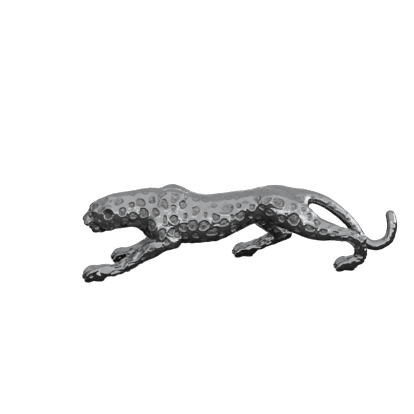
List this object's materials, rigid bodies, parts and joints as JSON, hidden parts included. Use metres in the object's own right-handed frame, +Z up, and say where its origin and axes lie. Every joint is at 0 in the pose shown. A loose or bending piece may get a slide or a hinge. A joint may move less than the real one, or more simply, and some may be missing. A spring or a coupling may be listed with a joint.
{
  "type": "hood ornament",
  "caption": "Chrome-plated spotted big cat stalking low with a curling tail, held to a hood by a threaded stud, rubber gasket, washers and nut at each paw.",
  "frame": {"origin": "on the hood's outer surface, between the flanks and near the middle of the cat's length; the paw gaskets' undersides lie at z = 0", "axes": "+X towards the tail, +Y towards the cat's right flank, +Z up, away from the hood"},
  "size_m": [0.2081, 0.039, 0.0704],
  "materials": {
    "chrome_plate": "bright chrome plate on cast zinc",
    "zinc_plated_steel": "bright zinc plate",
    "black_rubber": "matte"
  },
  "bodies": {
    "ornament": {"leopard_casting": "chrome_plate", "front_left_paw_gasket": "black_rubber", "front_left_stud": "zinc_plated_steel", "front_right_paw_gasket": "black_rubber", "front_right_stud": "zinc_plated_steel", "rear_left_paw_gasket": "black_rubber", "rear_left_stud": "zinc_plated_steel", "rear_right_paw_gasket": "black_rubber", "rear_right_stud": "zinc_plated_steel"},
    "front_left_washers": {"front_left_sealing_washer": "black_rubber", "front_left_flat_washer": "zinc_plated_steel", "front_left_spring_washer": "zinc_plated_steel"},
    "front_left_nut": {"front_left_nut": "zinc_plated_steel"},
    "front_right_washers": {"front_right_sealing_washer": "black_rubber", "front_right_flat_washer": "zinc_plated_steel", "front_right_spring_washer": "zinc_plated_steel"},
    "front_right_nut": {"front_right_nut": "zinc_plated_steel"},
    "rear_left_washers": {"rear_left_sealing_washer": "black_rubber", "rear_left_flat_washer": "zinc_plated_steel", "rear_left_spring_washer": "zinc_plated_steel"},
    "rear_left_nut": {"rear_left_nut": "zinc_plated_steel"},
    "rear_right_washers": {"rear_right_sealing_washer": "black_rubber", "rear_right_flat_washer": "zinc_plated_steel", "rear_right_spring_washer": "zinc_plated_steel"},
    "rear_right_nut": {"rear_right_nut": "zinc_plated_steel"}
  },
  "joints": [
    {"name": "front_left_unthread", "type": "slide", "parent": "ornament", "child": "front_left_washers", "axis": [0, 0, -1], "range_m": [0, 0.0077]},
    {"name": "front_left_nut_spin", "type": "hinge", "parent": "front_left_washers", "child": "front_left_nut", "pos_m": [-0.0811, -0.0138, -0.0059], "axis": [0, 0, -1], "range_deg": [0, 3960]},
    {"name": "front_right_unthread", "type": "slide", "parent": "ornament", "child": "front_right_washers", "axis": [0, 0, -1], "range_m": [0, 0.0077]},
    {"name": "front_right_nut_spin", "type": "hinge", "parent": "front_right_washers", "child": "front_right_nut", "pos_m": [-0.0609, 0.0138, -0.0059], "axis": [0, 0, -1], "range_deg": [0, 3960]},
    {"name": "rear_left_unthread", "type": "slide", "parent": "ornament", "child": "rear_left_washers", "axis": [0, 0, -1], "range_m": [0, 0.0077]},
    {"name": "rear_left_nut_spin", "type": "hinge", "parent": "rear_left_washers", "child": "rear_left_nut", "pos_m": [0.083, -0.012, -0.0059], "axis": [0, 0, -1], "range_deg": [0, 3960]},
    {"name": "rear_right_unthread", "type": "slide", "parent": "ornament", "child": "rear_right_washers", "axis": [0, 0, -1], "range_m": [0, 0.0077]},
    {"name": "rear_right_nut_spin", "type": "hinge", "parent": "rear_right_washers", "child": "rear_right_nut", "pos_m": [0.019, 0.0148, -0.0059], "axis": [0, 0, -1], "range_deg": [0, 3960]}
  ],
  "couplings": [
    {"joint": "front_left_nut_spin", "follows": "front_left_unthread", "rad_per_m": 8976},
    {"joint": "front_right_nut_spin", "follows": "front_right_unthread", "rad_per_m": 8976},
    {"joint": "rear_left_nut_spin", "follows": "rear_left_unthread", "rad_per_m": 8976},
    {"joint": "rear_right_nut_spin", "follows": "rear_right_unthread", "rad_per_m": 8976}
  ]
}
